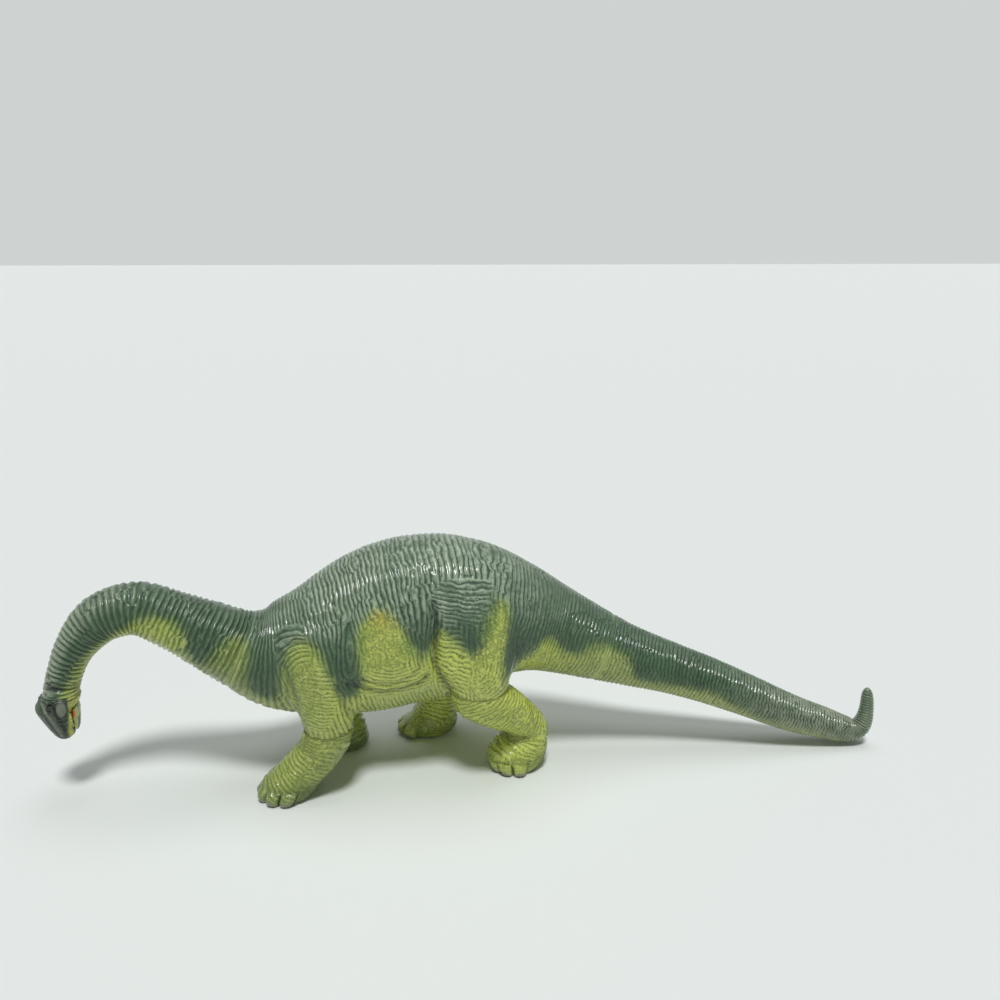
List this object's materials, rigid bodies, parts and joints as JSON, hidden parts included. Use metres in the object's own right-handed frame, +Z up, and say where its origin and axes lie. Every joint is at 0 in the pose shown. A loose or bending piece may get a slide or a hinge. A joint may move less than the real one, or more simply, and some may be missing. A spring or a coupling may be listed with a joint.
{
  "type": "toy dinosaur figure",
  "caption": "Hollow soft-vinyl long-necked dinosaur in a walking pose; the neck, head, tail and legs are round plugs that swivel in the body. For pretend play and display.",
  "frame": {"origin": "middle of the underside of the whole figure, on the floor it stands on", "axes": "+X from the head to the tail, +Y to the figure's right side, +Z up; the left side is -Y"},
  "size_m": [0.4668, 0.0878, 0.1338],
  "materials": {
    "upper_skin": "soft PVC vinyl, semi-gloss, dark grey-green paint over finely wrinkled skin",
    "leg_skin": "soft PVC vinyl, semi-gloss, yellow-green paint over finely wrinkled skin",
    "head_skin": "soft PVC vinyl, semi-gloss, grey-green with a grey-brown cheek",
    "mouth_vinyl": "soft PVC vinyl, glossy red-orange",
    "tooth_vinyl": "vinyl, ivory",
    "eye_plastic": "hard plastic, high gloss black-brown",
    "stuffing_fibre": "white polyester fibre"
  },
  "bodies": {
    "torso": {"torso_shell": "upper_skin", "torso_stuffing": "stuffing_fibre"},
    "neck": {"neck": "upper_skin"},
    "head": {"head_shell": "head_skin", "lower_jaw": "head_skin", "tongue": "mouth_vinyl", "upper_teeth": "tooth_vinyl", "lower_teeth": "tooth_vinyl", "left_eye": "eye_plastic", "right_eye": "eye_plastic"},
    "tail": {"tail": "upper_skin"},
    "front_left_leg": {"front_left_leg": "leg_skin"},
    "front_right_leg": {"front_right_leg": "leg_skin"},
    "hind_left_leg": {"hind_left_leg": "leg_skin"},
    "hind_right_leg": {"hind_right_leg": "leg_skin"}
  },
  "joints": [
    {"name": "neck_swivel", "type": "hinge", "parent": "torso", "child": "neck", "pos_m": [-0.12745, 0, 0.07598], "axis": [0.9161, 0, -0.4009], "range_deg": [-40, 40]},
    {"name": "head_swivel", "type": "hinge", "parent": "neck", "child": "head", "pos_m": [-0.22045, 0, 0.05897], "axis": [0, 0, 1], "range_deg": [-70, 70]},
    {"name": "tail_swivel", "type": "hinge", "parent": "torso", "child": "tail", "pos_m": [0.07555, -0.00399, 0.0611], "axis": [0.9172, -0.1797, -0.3556], "range_deg": [-20, 20]},
    {"name": "front_left_leg_swivel", "type": "hinge", "parent": "torso", "child": "front_left_leg", "pos_m": [-0.08296, -0.028, 0.03853], "axis": [0, 0, 1], "range_deg": [-30, 30]},
    {"name": "front_right_leg_swivel", "type": "hinge", "parent": "torso", "child": "front_right_leg", "pos_m": [-0.08296, 0.028, 0.03853], "axis": [0, 0, 1], "range_deg": [-30, 30]},
    {"name": "hind_left_leg_swivel", "type": "hinge", "parent": "torso", "child": "hind_left_leg", "pos_m": [-0.00145, -0.028, 0.05399], "axis": [0, 0, 1], "range_deg": [-25, 25]},
    {"name": "hind_right_leg_swivel", "type": "hinge", "parent": "torso", "child": "hind_right_leg", "pos_m": [-0.00145, 0.028, 0.05399], "axis": [0, 0, 1], "range_deg": [-25, 25]}
  ]
}
